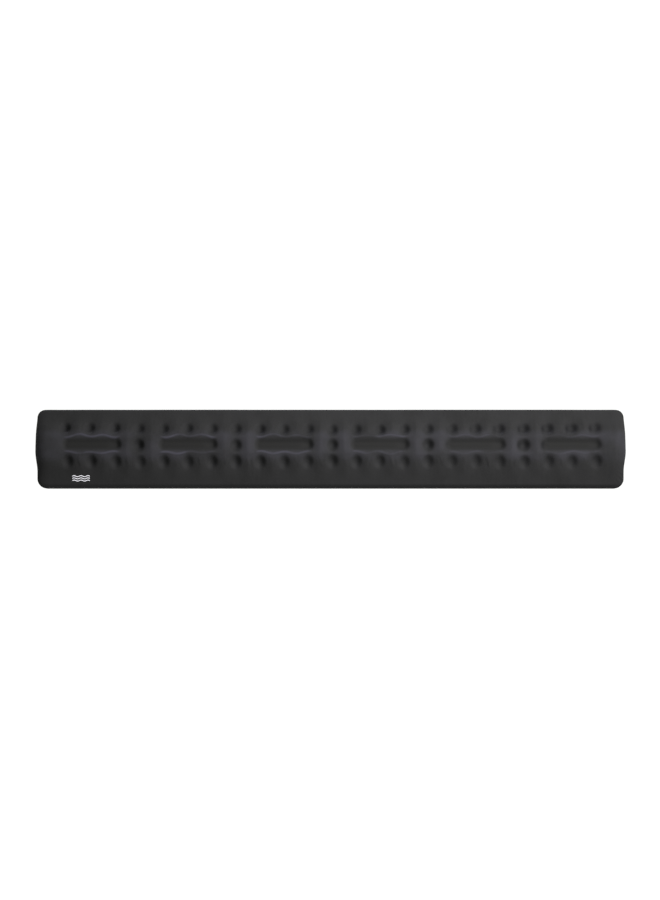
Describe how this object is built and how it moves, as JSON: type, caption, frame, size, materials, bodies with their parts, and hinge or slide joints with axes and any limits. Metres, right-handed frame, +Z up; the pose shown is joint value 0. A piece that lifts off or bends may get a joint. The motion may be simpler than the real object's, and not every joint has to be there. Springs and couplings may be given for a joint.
{
  "type": "keyboard wrist rest",
  "caption": "Long low padded wrist rest for a keyboard: stretch-knit cover over a memory-foam bar with pressed-in dimples and slots, on a non-slip rubber sheet.",
  "frame": {"origin": "centre of the rubber base sheet's underside, where the part rests on the desk", "axes": "+X along the bar to the user's right, +Y away from the user towards the keyboard, +Z up"},
  "size_m": [0.44, 0.06, 0.021],
  "materials": {
    "cover_knit": "matt black stretch knit, brushed by the mould, with a faint sheen",
    "memory_foam": "open-cell slow-rebound foam, off-white",
    "bond_film": "black hot-melt film",
    "base_rubber": "black non-slip rubber with a moulded grip pattern",
    "print_ink": "white heat-transfer print"
  },
  "bodies": {
    "root": {"fabric_cover": "cover_knit", "foam_core": "memory_foam", "bond_film": "bond_film", "rubber_base_sheet": "base_rubber", "printed_wave_front": "print_ink", "printed_wave_middle": "print_ink", "printed_wave_back": "print_ink"}
  },
  "joints": []
}
